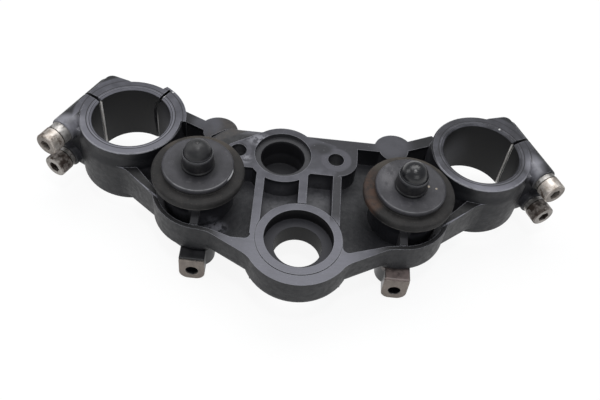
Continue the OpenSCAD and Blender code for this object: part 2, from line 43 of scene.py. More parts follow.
mounts = {mount["name"]: mount for mount in frame["record"]["mounts"]}
scene = bpy.context.scene
scene.view_settings.view_transform = "Standard"


# Places that the materials are measured from

def placeOf(mount):
    return Vector(mounts[mount]["pos_m"])


def mirrored(place):
    return Vector((-place.x, place.y, place.z))


stemAt, lockAt, forkAt = placeOf("stem_seat"), placeOf("lock_mouth"), placeOf("right_fork_clamp")
lugHoleAt = placeOf("right_lug_hole")
boltReach = Vector((mounts["lock_bolts"]["dims"]["spacing_x_mm"] / 2000, 0, 0))
leftBoltAt, rightBoltAt = placeOf("lock_bolts") - boltReach, placeOf("lock_bolts") + boltReach
bushAt = sum(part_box("right_disc_washer"), Vector()) / 2

# the slits of the clamps lean this way, and so do the screws across them
slitTurn, slitWidth = math.radians(27.5), 0.0018
quarter = math.radians(90)


# Small helpers for node materials

def addNode(tree, kind, props=None, inputs=None):
    node = tree.nodes.new("ShaderNode" + kind)
    for key, value in (props or {}).items():
        setattr(node, key, value)
    for key, value in (inputs or {}).items():
        feed(tree, node.inputs[key], value)
    return node


def feed(tree, socket, value):
    if isinstance(value, bpy.types.NodeSocket):
        tree.links.new(value, socket)
    else:
        socket.default_value = value


class Paint:
    # builds one node material; a mask is a socket from 0 to 1, a tone a socket or a colour

    def __init__(self, name):
        self.mat = bpy.data.materials.new(name)
        self.mat.use_nodes = True
        self.tree = self.mat.node_tree
        self.tree.nodes.clear()
        coords = addNode(self.tree, "TexCoord")
        self.at = coords.outputs["Object"]
        self.x, self.y, self.z = addNode(self.tree, "SeparateXYZ", inputs={0: self.at}).outputs
        self.absX = self.math("ABSOLUTE", self.x)
        facing = coords.outputs["Normal"]
        self.nx, self.ny, self.nz = addNode(self.tree, "SeparateXYZ", inputs={0: facing}).outputs

    def math(self, op, a, b=0.0):
        return addNode(self.tree, "Math", {"operation": op}, {0: a, 1: b}).outputs[0]

    def plus(self, a, b):
        return self.math("ADD", a, b)

    def minus(self, a, b):
        return self.math("SUBTRACT", a, b)

    def times(self, a, b):
        return self.math("MULTIPLY", a, b)

    def length(self, a, b):
        return self.math("SQRT", self.plus(self.times(a, a), self.times(b, b)))

    # how far a point at a and b lies along the direction at that angle
    def along(self, a, b, angle):
        return self.plus(self.times(a, math.cos(angle)), self.times(b, math.sin(angle)))

    # smooth step between low and high
    def ramp(self, value, low, high, toLow=0.0, toHigh=1.0):
        node = addNode(self.tree, "MapRange", {"interpolation_type": "SMOOTHSTEP"}, {
            "Value": value, "From Min": low, "From Max": high, "To Min": toLow, "To Max": toHigh})
        return node.outputs[0]

    def fall(self, value, low, high):
        return self.ramp(value, low, high, 1.0, 0.0)

    # 1 between low and high, with soft ends
    def band(self, value, low, high, soft):
        return self.both(self.ramp(value, low - soft, low + soft), self.fall(value, high - soft, high + soft))

    def both(self, mask, *others):
        for other in others:
            mask = self.times(mask, other)
        return mask

    def either(self, mask, *others):
        for other in others:
            mask = self.math("MAXIMUM", mask, other)
        return mask

    def nots(self, mask):
        return self.minus(1.0, mask)

    def noise(self, scale, detail, rough, stretch=(1, 1, 1), shift=(0, 0, 0), warp=0.0):
        place = addNode(self.tree, "Mapping", inputs={"Vector": self.at, "Location": shift, "Scale": stretch})
        node = addNode(self.tree, "TexNoise", inputs={
            "Vector": place.outputs[0], "Scale": scale, "Detail": detail, "Roughness": rough, "Distortion": warp})
        return node.outputs[0]

    # scattered small specks, size as a share of their spacing
    def specks(self, scale, size, shift=(0, 0, 0)):
        place = addNode(self.tree, "Mapping", inputs={"Vector": self.at, "Location": shift})
        cells = addNode(self.tree, "TexVoronoi", {"feature": "F1"}, {"Vector": place.outputs[0], "Scale": scale})
        return self.fall(cells.outputs["Distance"], size * 0.5, size)

    # 1 inside a ball round the centre, in metres; a squash over 1 makes it narrower
    def spot(self, centre, radius, soft, squash=(1, 1, 1)):
        away = addNode(self.tree, "VectorMath", {"operation": "SUBTRACT"}, {0: self.at, 1: centre})
        pressed = addNode(self.tree, "VectorMath", {"operation": "MULTIPLY"}, {0: away.outputs[0], 1: squash})
        far = addNode(self.tree, "VectorMath", {"operation": "LENGTH"}, {0: pressed.outputs[0]})
        return self.fall(far.outputs["Value"], radius * (1 - soft), radius * (1 + soft))

    def spots(self, rows):
        return self.either(*(self.spot(*row) for row in rows))

    # distance from the upright axis through a place
    def radius(self, place):
        return self.length(self.minus(self.x, place.x), self.minus(self.y, place.y))

    # distance to the left of the line from start to end, seen from above
    def leftOf(self, start, end, x=None):
        run = Vector((end[0] - start[0], end[1] - start[1])).normalized()
        across = self.times(self.minus(self.y, start[1]), run.x)
        return self.minus(across, self.times(self.minus(x or self.x, start[0]), run.y))

    def mix(self, mask, a, b):
        node = addNode(self.tree, "Mix", {"data_type": "RGBA"}, {0: mask})
        # the colour sockets come after those for numbers and vectors
        for socket, tone in zip(node.inputs[6:8], (a, b)):
            feed(self.tree, socket, tone if isinstance(tone, bpy.types.NodeSocket) else (*tone, 1.0))
        return node.outputs[2]

    # lays colours over a tone, the first layer lowest
    def layers(self, tone, *rows):
        for mask, colour in rows:
            tone = self.mix(mask, tone, colour)
        return tone

    # the same as mix, for numbers
    def blend(self, mask, a, b):
        return self.plus(a, self.times(mask, self.minus(b, a)))

    # 1 on rounded edges, where wear and painted highlights are laid, from how far a rounded normal leans off the
    # true one
    def edgeMask(self, size):
        bevel = addNode(self.tree, "Bevel", {"samples": 6}, {"Radius": size})
        true = addNode(self.tree, "NewGeometry").outputs["Normal"]
        lean = addNode(self.tree, "VectorMath", {"operation": "DOT_PRODUCT"}, {0: bevel.outputs[0], 1: true})
        return self.fall(lean.outputs["Value"], 0.88, 0.98)

    # 1 in corners and hollows that little light reaches, limits as shares of the open sky
    def hollow(self, reach, low, high):
        node = addNode(self.tree, "AmbientOcclusion", {"samples": 8}, {"Distance": reach})
        return self.fall(node.outputs["AO"], low, high)

    def done(self, tone, rough, bump, depth, edge, gloss=0.5, metal=0.0):
        rounded = addNode(self.tree, "Bevel", {"samples": 6}, {"Radius": edge})
        bumped = addNode(self.tree, "Bump", inputs={
            "Strength": 1.0, "Distance": depth, "Height": bump, "Normal": rounded.outputs[0]})
        shader = addNode(self.tree, "BsdfPrincipled", inputs={
            "Base Color": tone, "Roughness": rough, "Metallic": metal, "Specular IOR Level": gloss,
            "Normal": bumped.outputs[0]})
        addNode(self.tree, "OutputMaterial", inputs={"Surface": shader.outputs[0]})
        return self.mat


def dress(material, *names):
    for name in names:
        for slot in nodes[name].material_slots:
            slot.material = material


# Camera: fitted to the rims of the bores in the photograph

view = {
    "spot": (-0.00067, 0.0309, -0.00726), "away": 0.43031,
    "azimuth": 2.64, "height": 51.05, "roll": 7.88, "lens": 47.244, "sensor": 36,
}


def makeCamera():
    azimuth, height, roll = (math.radians(view[key]) for key in ("azimuth", "height", "roll"))
    ahead = Vector((math.sin(azimuth) * math.cos(height), math.cos(azimuth) * math.cos(height), -math.sin(height)))
    right = Vector((math.cos(azimuth), -math.sin(azimuth), 0))
    up = right.cross(ahead)
    rolledRight = right * math.cos(roll) + up * math.sin(roll)
    rolledUp = up * math.cos(roll) - right * math.sin(roll)
    data = bpy.data.cameras.new("camera")
    data.sensor_fit = "HORIZONTAL"
    data.sensor_width = view["sensor"]
    data.lens = view["lens"]
    data.clip_start = 0.01
    camera = bpy.data.objects.new("camera", data)
    scene.collection.objects.link(camera)
    turn = Matrix((rolledRight, rolledUp, -ahead)).transposed().to_4x4()
    camera.matrix_world = Matrix.Translation(Vector(view["spot"]) - ahead * view["away"]) @ turn
    scene.camera = camera


makeCamera()
print("camera placed")


# Floor, world and lamps; the floor lies a hair above the lowest point of the risers, which stand on it

floorLook = {"level": cadBox[0][2] + 0.0001, "size": 3.0, "glow": 0.9, "paper": 0.95}
skyLook = {"tint": (0.93, 0.96, 1.0), "strength": 0.4}
lampLook = {
    "overhead": {"at": (-0.02, 0.44, 0.95), "size": (1.1, 0.55), "watts": 7.4},
    "key": {"at": (0.02, -0.16, 0.86), "size": (0.13, 0.13), "watts": 1.9},
    "left": {"at": (-0.9, 0.1, 0.55), "size": (0.4, 0.6), "watts": 2.0},
    "front": {"at": (0.3, -0.9, 0.5), "size": (0.7, 0.4), "watts": 1.6},
}
lampAim = Vector((0, 0.03, 0))


# 1 for rays that see the paper as plain white
def paperShare(tree):
    rays = addNode(tree, "LightPath")
    share = rays.outputs["Is Camera Ray"]
    for other in ("Is Glossy Ray", "Is Transmission Ray"):
        share = addNode(tree, "Math", {"operation": "MAXIMUM"}, {0: share, 1: rays.outputs[other]}).outputs[0]
    return share


def makeFloor():
    mesh = bpy.data.meshes.new("floor")
    size, level = floorLook["size"], floorLook["level"]
    corners = [(-size, -size, level), (size, -size, level), (size, size, level), (-size, size, level)]
    mesh.from_pydata(corners, [], [(0, 1, 2, 3)])
    floor = bpy.data.objects.new("floor", mesh)
    scene.collection.objects.link(floor)
    mat = bpy.data.materials.new("floorPaper")
    mat.use_nodes = True
    tree = mat.node_tree
    tree.nodes.clear()
    paper = addNode(tree, "BsdfDiffuse", inputs={"Color": (*[floorLook["paper"]] * 3, 1)})
    glow = addNode(tree, "Emission", inputs={"Color": (1, 1, 1, 1), "Strength": 1.0})
    share = addNode(tree, "Math", {"operation": "MULTIPLY"}, {0: paperShare(tree), 1: floorLook["glow"]})
    mix = addNode(tree, "MixShader", inputs={0: share.outputs[0], 1: paper.outputs[0], 2: glow.outputs[0]})
    addNode(tree, "OutputMaterial", inputs={"Surface": mix.outputs[0]})
    mesh.materials.append(mat)


def makeSky():
    world = bpy.data.worlds.new("studio")
    scene.world = world
    world.use_nodes = True
    tree = world.node_tree
    tree.nodes.clear()
    sky = addNode(tree, "Background", inputs={"Color": (*skyLook["tint"], 1), "Strength": skyLook["strength"]})
    addNode(tree, "OutputWorld", inputs={"Surface": sky.outputs[0]})


def makeLamps():
    for name, look in lampLook.items():
        data = bpy.data.lights.new(name, "AREA")
        data.shape = "RECTANGLE"
        data.size, data.size_y = look["size"]
        data.energy = look["watts"]
        lamp = bpy.data.objects.new(name, data)
        lamp.location = look["at"]
        lamp.rotation_mode = "QUATERNION"
        lamp.rotation_quaternion = (lampAim - lamp.location).to_track_quat("-Z", "Y")
        scene.collection.objects.link(lamp)


makeFloor()
makeSky()
makeLamps()
print("stage and lamps made")


# Yoke: black coat with wear, turned and milled faces, rough casting in the pockets, and painted highlights and shade

castLook = {
    "coat": (0.0075, 0.008, 0.01), "haze": (0.012, 0.012, 0.015), "brownDirt": (0.04, 0.035, 0.033),
    "milled": (0.045, 0.045, 0.055), "milledPale": (0.135, 0.135, 0.158),
    "ringHighlight": (0.19, 0.19, 0.225), "chamferPale": (0.19, 0.19, 0.22),
    "contact": (0.064, 0.063, 0.076), "darkMilled": (0.019, 0.019, 0.023),
    "padLitTone": (0.055, 0.055, 0.065), "rimShade": (0.004, 0.004, 0.005),
    "sheenAndScuffTone": (0.2, 0.2, 0.225), "floorSheenTone": (0.1, 0.1, 0.108),
    "pocketFillTone": (0.055, 0.055, 0.063), "web": (0.05, 0.05, 0.054),
    "edge": (0.24, 0.24, 0.265), "rolledEdge": (0.003, 0.003, 0.004), "gusset": (0.2, 0.2, 0.23),
    "ringEdgeLine": (0.008, 0.008, 0.01), "bare": (0.5, 0.5, 0.5), "sawnLit": (0.95, 0.93, 0.9),
    "bore": (0.0035, 0.0035, 0.0045), "seatFloor": (0.024, 0.024, 0.029), "boreSheen": (0.04, 0.04, 0.046),
    "lock": (0.03, 0.03, 0.034), "lockWallShade": (0.01, 0.01, 0.012),
}
castFinish = {"depth": 0.00016, "edge": 0.0004, "gloss": 0.32}

# lines seen from above, in metres
castLines = {
    "leftWall": ((-0.06, 0.0585), (-0.026, 0.0745)),
    "dirtyWall": ((-0.06, 0.057), (-0.026, 0.0745)),
    "bracket": ((0.0026, 0.0712), (0.02, 0.0658)),
    "gusset": ((0.0781, 0.0182), (0.0992, 0.0348)),
}

# limits of a step, or limits and softness of a band, in metres
castSpans = {
    "level": (-0.0006, 0.0006, 0.0003), "rimX": (0.036, 0.0505), "rimY": (0.052, 0.058), "bushSide": (0.052, 0.054),
    "ringTop": (0.0085, 0.009), "ringOut": (0.031, 0.0325),
    "chamferIn": (0.0215, 0.0217), "chamferOut": (0.024, 0.0242), "chamferTop": (0.0082, 0.0086),
    "seat": (0.0184, 0.0186), "lock": (0.01595, 0.0162), "bore": (0.0216, 0.0219), "sunk": (-0.0005, -0.0001),
    "leftMark": (0.0048, 0.0073, 0.0005), "rightMark": (0.0051, 0.0083, 0.0005), "rightMarkOut": (0.0083, 0.0092),
    "bracketEdge": (-0.0004, 0.0006), "bracketX": (0.0165, 0.0185),
    "lockPlateX": (-0.001, 0.002), "lockPlateY": (0.03, 0.05), "lockFlangeY": (0.045, 0.05),
    "frontY": (-0.012, 0.045), "frontX": (0.022, 0.038), "nearRingY": (0.045, 0.075), "rightRingY": (0.04, 0.08),
    "ribX": (0.0155, 0.0215, 0.0004), "ribY": (0.014, 0.045, 0.004),
    "dirtX": (-0.056, -0.022, 0.003), "dirtZ": (-0.012, -0.006), "pocketZ": (-0.003, -0.001),
    "webX": (0.0525, 0.0585, 0.0003), "webY": (0.0025, 0.0112, 0.0003), "webZ": (-0.012, -0.003),
    "rolledZ": (-0.003, -0.0001, 0.0001), "rolledY": (0.04, 0.045), "quietRing": (0.0247, 0.0257),
    "gussetAcross": (0.0002, 0.001, 0.0002), "gussetX": (0.0735, 0.1, 0.001), "gussetZ": (-0.003, -0.002),
    "frontEdge": (0.0274, 0.028, 0.00012), "frontEdgeZ": (0.0085, 0.0092), "frontEdgeY": (0.045, 0.06),
    "innerLine": (0.0225, 0.0229, 0.00012), "middleLine": (0.024, 0.0245, 0.00012),
    "outerLine": (0.0282, 0.0286, 0.00015), "outerLineZ": (0.009, 0.0095), "linesZ": (0.0083, 0.0088),
    "lockWallZ": (-0.013, -0.004, 0.001), "stemFace": (0.0225, 0.023), "depthZ": (-0.0125, -0.001),
    "slitAlong": (0.019, 0.02), "slitOut": (0.0226, 0.0232), "slitZ": (0.007, 0.0085),
    "cutX": (-0.06, -0.05), "cutOut": (0.0225, 0.0235), "cutZ": (-0.022, -0.006, 0.003),
}
secondCutTurn = (math.radians(59.6), math.radians(61.4), 0.006)

# each row is a centre, a radius, a softness and maybe a squash
castSpots = {
    "darkMilled": [((0.0085, 0.0635, 0), 0.0052, 0.35, (0.8, 1.25, 1)), ((-0.035, 0.0595, 0), 0.003, 0.4)],
    "rubbed": [((-0.0385, 0.0668, 0), 0.0033, 0.5, (0.6, 1.3, 1)), ((-0.033, 0.0505, 0), 0.003, 0.6),
               ((-0.026, 0.0655, 0), 0.004, 0.6, (0.6, 1, 1))],
    "backPads": [((-0.0573, 0.0736, 0), 0.0085, 0.4), ((0.0493, 0.0723, 0), 0.0105, 0.4)],
    "valleys": [((-0.1305, 0.0555, 0.0085), 0.0065, 0.6, (0.8, 1.3, 1)),
                ((0.1275, 0.0585, 0.0085), 0.006, 0.6, (1.2, 0.9, 1))],
    "scuff": [((-0.0475, 0.0105, -0.0118), 0.0055, 0.5, (0.7, 1.2, 1))],
    "floorSheen": [((-0.0125, 0.031, -0.0125), 0.0085, 0.5, (0.9, 0.9, 1)),
                   ((0.0085, 0.037, -0.0125), 0.0085, 0.5, (1, 0.8, 1))],
    "chips": [((0.1102, 0.0841, 0.0098), 0.0006, 0.2), ((-0.0783, 0.0862, 0.0098), 0.0006, 0.3)],
    "boreSheen": [((0.0868, 0.0825, -0.014), 0.0075, 0.8, (1, 1, 0.6)),
                  ((-0.0795, 0.075, -0.008), 0.008, 0.7, (1, 1, 0.7))],
}


class CastPaint(Paint):
    # the noises and masks that the yoke's layers share

    def __init__(self, name):
        super().__init__(name)
        self.fromStem, self.fromLock = self.radius(stemAt), self.radius(lockAt)
        self.fromFork = self.math("MINIMUM", self.radius(mirrored(forkAt)), self.radius(forkAt))
        self.grain = self.noise(1400, 2, 0.6)
        self.scratch = self.noise(420, 3, 0.65, stretch=(0.35, 1.6, 1), warp=0.4)
        self.lumps = self.noise(330, 5, 0.62)
        self.blotch = self.noise(95, 4, 0.6, shift=(0.1, 0.2, 0))
        self.cloud = self.noise(28, 3, 0.6)
        self.up = self.ramp(self.nz, 0.93, 0.985)
        self.findMilled()
        self.findBores()
        self.findSheenAndScuff()

    # the mask for a named span
    def within(self, value, span):
        return self.band(value, *castSpans[span])

    def above(self, value, span):
        return self.ramp(value, *castSpans[span])

    def below(self, value, span):
        return self.fall(value, *castSpans[span])

    # where the cutter passed: the ribbed face and the rings of the clamps
    def findMilled(self):
        self.level = self.within(self.z, "level")
        self.rim = self.both(self.above(self.absX, "rimX"), self.below(self.y, "rimY"))
        cast = self.either(self.rim, self.above(self.absX, "bushSide"),
                           self.ramp(self.leftOf(*castLines["leftWall"]), 0.0, 0.001))
        self.face = self.both(self.up, self.level, self.nots(cast))
        self.chamfer = self.both(self.above(self.fromFork, "chamferIn"), self.below(self.fromFork, "chamferOut"),
                                 self.above(self.z, "chamferTop"))
        top = self.both(self.up, self.above(self.z, "ringTop"), self.below(self.fromFork, "ringOut"))
        self.ring = self.either(top, self.chamfer)
        self.milled = self.either(self.face, self.ring)

    def findBores(self):
        sunk = self.below(self.z, "sunk")
        self.seat = self.both(self.below(self.fromStem, "seat"), sunk)
        self.lock = self.both(self.below(self.fromLock, "lock"), sunk)
        self.bore = self.both(self.below(self.fromFork, "bore"), self.fall(self.nz, 0.3, 0.5))

    def findSheenAndScuff(self):
        # painted highlight in the valleys between the rings and the arms; the spot on the left pocket's wall is a
        # real scuff
        valleys = self.both(self.spots(castSpots["valleys"]), self.ramp(self.blotch, 0.3, 0.6, 0.5, 1.0))
        scuff = self.both(self.spots(castSpots["scuff"]), self.ramp(self.lumps, 0.38, 0.55))
        self.sheenAndScuff = self.either(valleys, scuff)
        self.web = self.both(self.within(self.absX, "webX"), self.within(self.y, "webY"), self.above(self.z, "webZ"))


def coatTone(p):
    tone = p.mix(p.ramp(p.cloud, 0.35, 0.7, 0.0, 0.6), castLook["coat"], castLook["haze"])
    dirt = p.both(p.ramp(p.leftOf(*castLines["dirtyWall"]), 0.0, 0.002), p.within(p.x, "dirtX"),
                  p.above(p.z, "dirtZ"), p.ramp(p.nz, 0.6, 0.8), p.ramp(p.lumps, 0.35, 0.6, 0.3, 1.0))
    return p.mix(dirt, tone, castLook["brownDirt"])


# milled metal, with painted highlights that make it pale at the front, on the fronts of the rings and on the
# chamfers, painted shade on the flange at the back, darker patches, and the marks of the lock's bracket round its
# bolts
def milledTone(p):
    right = p.ramp(p.x, 0, 0.01)
    leftMark, rightMark = p.radius(leftBoltAt), p.radius(rightBoltAt)
    marks = p.either(p.within(leftMark, "leftMark"), p.within(rightMark, "rightMark"))
    bracket = p.both(p.below(p.leftOf(*castLines["bracket"]), "bracketEdge"),
                     p.either(p.below(p.x, "bracketX"), p.below(rightMark, "rightMarkOut")))
    outsideBracket = p.both(p.above(p.y, "lockPlateY"), p.nots(bracket), p.above(p.x, "lockPlateX"))
    front = p.both(p.below(p.y, "frontY"), p.ramp(p.absX, *castSpans["frontX"], 1.0, 0.15))
    flange = p.both(p.face, p.above(p.y, "lockFlangeY"))
    rightRib = p.both(p.within(p.x, "ribX"), p.within(p.y, "ribY"), p.level)
    rubbed = p.both(p.spots(castSpots["rubbed"]), p.ramp(p.lumps, 0.4, 0.55))
    fleck = p.both(p.specks(520, 0.16), p.ramp(p.blotch, 0.45, 0.6))
    metal = p.mix(p.ramp(p.blotch, 0.3, 0.7, 0.0, 0.4), castLook["milled"], castLook["milledPale"])
    return p.layers(
        metal,
        # painted highlight: the front of the milled face and of the rings paler, the right ring paler at its front,
        # the machined chamfers lightened against their own shade
        (p.both(front, p.ramp(p.scratch, 0.3, 0.7, 0.6, 0.95)), castLook["milledPale"]),
        (p.times(p.both(p.ring, p.below(p.y, "nearRingY")), 0.8), castLook["milledPale"]),
        (p.both(p.ring, right, p.ramp(p.y, *castSpans["rightRingY"], 1.0, 0.2)), castLook["ringHighlight"]),
        (p.both(p.chamfer, p.blend(right, 0.45, 1.0)), castLook["chamferPale"]),
        # darker milled patches on the right rib, outside the lock's bracket and in a few spots
        (rightRib, castLook["darkMilled"]),
        # painted shade: the milled flange at the back darker
        (p.times(flange, 0.4), castLook["darkMilled"]),
        (p.both(marks, p.ramp(p.scratch, 0.35, 0.6, 0.5, 1.0)), castLook["contact"]),
        (p.both(outsideBracket, p.ramp(p.blotch, 0.3, 0.6, 0.55, 0.9)), castLook["darkMilled"]),
        (p.both(p.spots(castSpots["darkMilled"]), p.ramp(p.blotch, 0.3, 0.5)), castLook["darkMilled"]),
        (p.times(rubbed, 0.75), castLook["edge"]),
        (p.times(fleck, 0.5), castLook["edge"]),
    )


# painted light and shade on the coat: lighter back pads, dark rims, highlights in the valleys beside a real scuff,
# sheen on the pocket floors, lighter pocket hollows and a lighter riser web
def addWear(p, tone):
    pads = p.both(p.spots(castSpots["backPads"]), p.up, p.ramp(p.blotch, 0.3, 0.6, 0.6, 1.0))
    # painted sheen on the pocket floors behind the stem
    sheen = p.both(p.spots(castSpots["floorSheen"]), p.ramp(p.lumps, 0.3, 0.62, 0.25, 1.0))
    # painted light: the most enclosed parts of the pockets lightened
    pocketFill = p.both(p.hollow(0.02, 0.1, 0.6), p.below(p.z, "pocketZ"))
    return p.layers(
        tone,
        # painted light on the tops of the back pads
        (pads, castLook["padLitTone"]),
        # painted shade: the tops of the outer walls near black, for their rolled rims
        (p.both(p.rim, p.up, p.level), castLook["rimShade"]),
        # painted highlight in the valleys, and the scuff
        (p.sheenAndScuff, castLook["sheenAndScuffTone"]),
        (sheen, castLook["floorSheenTone"]),
        (p.times(pocketFill, 0.8), castLook["pocketFillTone"]),
        # painted light on the top of the riser web, against the shadow under the rubber
        (p.web, castLook["web"]),
    )


# light lines on the edges, partly bare metal where the coat has gone and partly painted highlight, a painted
# highlight on the rings' front edges, painted shade on the rolled edges, and dark lines along the rings' edges and
# step
def addEdges(p, tone):
    keen = p.either(p.milled, p.both(p.ramp(p.nz, 0.2, 0.6), p.above(p.z, "pocketZ")))
    quiet = p.either(p.web, p.times(p.below(p.fromFork, "quietRing"), 0.75))
    edge = p.both(p.edgeMask(0.0006), keen, p.nots(quiet), p.ramp(p.blotch, 0.3, 0.5, 0.45, 1.0))
    rolled = p.both(p.band(p.nz, 0.25, 0.9, 0.06), p.within(p.z, "rolledZ"), p.below(p.y, "rolledY"))
    gusset = p.both(p.within(p.leftOf(*castLines["gusset"], p.absX), "gussetAcross"), p.within(p.absX, "gussetX"),
                    p.above(p.z, "gussetZ"), p.ramp(p.nz, 0.3, 0.6), p.ramp(p.lumps, 0.35, 0.55, 0.25, 1.0))
    frontEdge = p.both(p.within(p.fromFork, "frontEdge"), p.above(p.z, "frontEdgeZ"), p.below(p.y, "frontEdgeY"),
                       p.ramp(p.scratch, 0.3, 0.5, 0.5, 1.0))
    outerLine = p.both(p.within(p.fromFork, "outerLine"), p.above(p.z, "outerLineZ"))
    lines = p.either(p.within(p.fromFork, "innerLine"), p.within(p.fromFork, "middleLine"), outerLine)
    return p.layers(
        tone,
        # light edges: partly bare metal where the coat has gone, partly painted highlight
        (edge, castLook["edge"]),
        # painted shade: the rolled front edges dark
        (p.times(rolled, 0.85), castLook["rolledEdge"]),
        (gusset, castLook["gusset"]),
        # painted highlight on the front of the rings' outer edges
        (frontEdge, castLook["edge"]),
        # dark lines at the chamfer's edge, the step and the outer edge of the rings
        (p.both(lines, p.ramp(p.nz, 0.5, 0.6), p.above(p.z, "linesZ")), castLook["ringEdgeLine"]),
        (p.spots(castSpots["chips"]), castLook["bare"]),
    )


def addBores(p, tone):
    return p.layers(
        tone,
        # the bores and stem seat darkened, partly their dark machined metal and partly painted shade, the seat's
        # upward floor a lighter grey
        (p.either(p.seat, p.bore), castLook["bore"]),
        (p.both(p.seat, p.ramp(p.nz, 0.8, 0.95)), castLook["seatFloor"]),
        # painted reflection on the bore walls
        (p.both(p.bore, p.spots(castSpots["boreSheen"])), castLook["boreSheen"]),
        (p.lock, castLook["lock"]),
        # painted shade down the lock hole's walls
        (p.both(p.lock, p.within(p.z, "lockWallZ")), castLook["lockWallShade"]),
    )


# bare faces and edges of the saw cuts of the slits, seen inside the bores, painted near white for the light that
# shows through them, with a painted light line beside the second cut
def addSlits(p, tone):
    outX, outY = p.minus(p.absX, forkAt.x), p.minus(p.y, forkAt.y)
    across = p.math("ABSOLUTE", p.along(outX, outY, slitTurn + quarter))
    inSlit = p.fall(across, slitWidth / 2 + 0.0001, slitWidth / 2 + 0.0002)
    sawnLit = p.both(inSlit, p.above(p.along(outX, outY, slitTurn), "slitAlong"),
                  p.below(p.fromFork, "slitOut"), p.below(p.z, "slitZ"))
    turn = p.math("ARCTAN2", outY, p.plus(p.x, forkAt.x))
    secondCut = p.both(p.band(turn, *secondCutTurn), p.below(p.x, "cutX"),
                       p.below(p.fromFork, "cutOut"), p.within(p.z, "cutZ"))
    # near white: partly bare metal, partly painted light
    return p.mix(p.either(sawnLit, p.times(secondCut, 0.35)), tone, castLook["sawnLit"])


def castRough(p):
    rough = p.ramp(p.lumps, 0.3, 0.7, 0.42, 0.56)
    rough = p.blend(p.milled, rough, p.ramp(p.scratch, 0.3, 0.7, 0.36, 0.5))
    rough = p.blend(p.either(p.seat, p.bore), rough, 0.6)
    return p.blend(p.sheenAndScuff, rough, 0.3)


# coarse lumps in the casting, fine scratches on milled faces, rings where it was turned
def castBump(p):
    turning = p.math("SINE", p.times(p.math("MINIMUM", p.fromStem, p.fromFork), 16000.0))
    turned = p.either(p.ring, p.both(p.face, p.below(p.fromStem, "stemFace")), p.seat, p.bore)
    bump = p.times(p.lumps, p.blend(p.above(p.z, "depthZ"), 1.4, 0.7))
    bump = p.blend(p.milled, bump, p.times(p.plus(p.grain, p.scratch), 0.12))
    return p.blend(turned, bump, p.plus(p.times(p.grain, 0.08), p.times(turning, 0.02)))


def makeCast():
    p = CastPaint("castYoke")
    tone = p.mix(p.milled, coatTone(p), milledTone(p))
    for addLayer in (addWear, addEdges, addBores, addSlits):
        tone = addLayer(p, tone)
    return p.done(tone, castRough(p), castBump(p), **castFinish)


dress(makeCast(), "yoke")
print("yoke painted")


# Rubber bushes: matt, greyed and dusty, rust washed down from the right washer, painted highlights on the edges and
# along the front of the lower rim

rubberLook = {
    "black": (0.014, 0.0134, 0.0133), "grey": (0.03, 0.0285, 0.028), "dust": (0.062, 0.054, 0.046),
    "rim": (0.085, 0.08, 0.075), "lowRimHighlight": (0.1, 0.095, 0.09), "rust": (0.07, 0.04, 0.028),
}
rubberFinish = {"depth": 0.00006, "edge": 0.0002, "gloss": 0.2}
rubberSpans = {"back": (0.036, 0.047), "lowZ": (0.0079, 0.0084, 0.00015), "lowY": (0.016, 0.026)}
rustSpots = [((0.036, 0.031, 0.012), 0.0055, 0.5, (1.3, 0.55, 1)), ((0.036, 0.0175, 0.01), 0.005, 0.5)]


def makeRubber(name, shift, rusty):
    p = Paint(name)
    blotch = p.noise(150, 4, 0.62, shift=shift)
    fine = p.noise(900, 3, 0.6, shift=shift)
    up = p.ramp(p.nz, 0.3, 0.95)
    back = p.ramp(p.y, *rubberSpans["back"])
    low = p.both(p.band(p.z, *rubberSpans["lowZ"]), p.fall(p.y, *rubberSpans["lowY"]))
    tone = p.mix(p.ramp(blotch, 0.3, 0.7), rubberLook["black"], rubberLook["grey"])
    tone = p.mix(p.both(up, back, p.ramp(blotch, 0.35, 0.6, 0.4, 0.9)), tone, rubberLook["dust"])
    if rusty:
        tone = p.mix(p.both(p.spots(rustSpots), p.ramp(blotch, 0.34, 0.56, 0.2, 0.8)), tone, rubberLook["rust"])
    tone = p.layers(
        tone,
        (p.times(p.both(up, p.specks(620, 0.2, shift)), 0.6), rubberLook["dust"]),
        # painted highlight on the edges, broken up by the blotches
        (p.both(p.edgeMask(0.0005), p.ramp(blotch, 0.35, 0.6, 0.3, 0.9)), rubberLook["rim"]),
        # painted highlight along the front of the lower rim
        (p.both(low, p.ramp(blotch, 0.3, 0.6, 0.5, 1.0)), rubberLook["lowRimHighlight"]),
    )
    return p.done(tone, p.ramp(blotch, 0.3, 0.7, 0.6, 0.78), fine, **rubberFinish)


dress(makeRubber("leftRubber", (0, 0, 0), False), "left_bush_rubber", "left_under_rubber")
dress(makeRubber("rightRubber", (0.4, 0.1, 0), True), "right_bush_rubber", "right_under_rubber")


# Disc washers: dull grey coat, scuffed, darker towards the collar, painted highlights on the edges and along the
# front rim, with a bright nick on the left one and grit on the right one

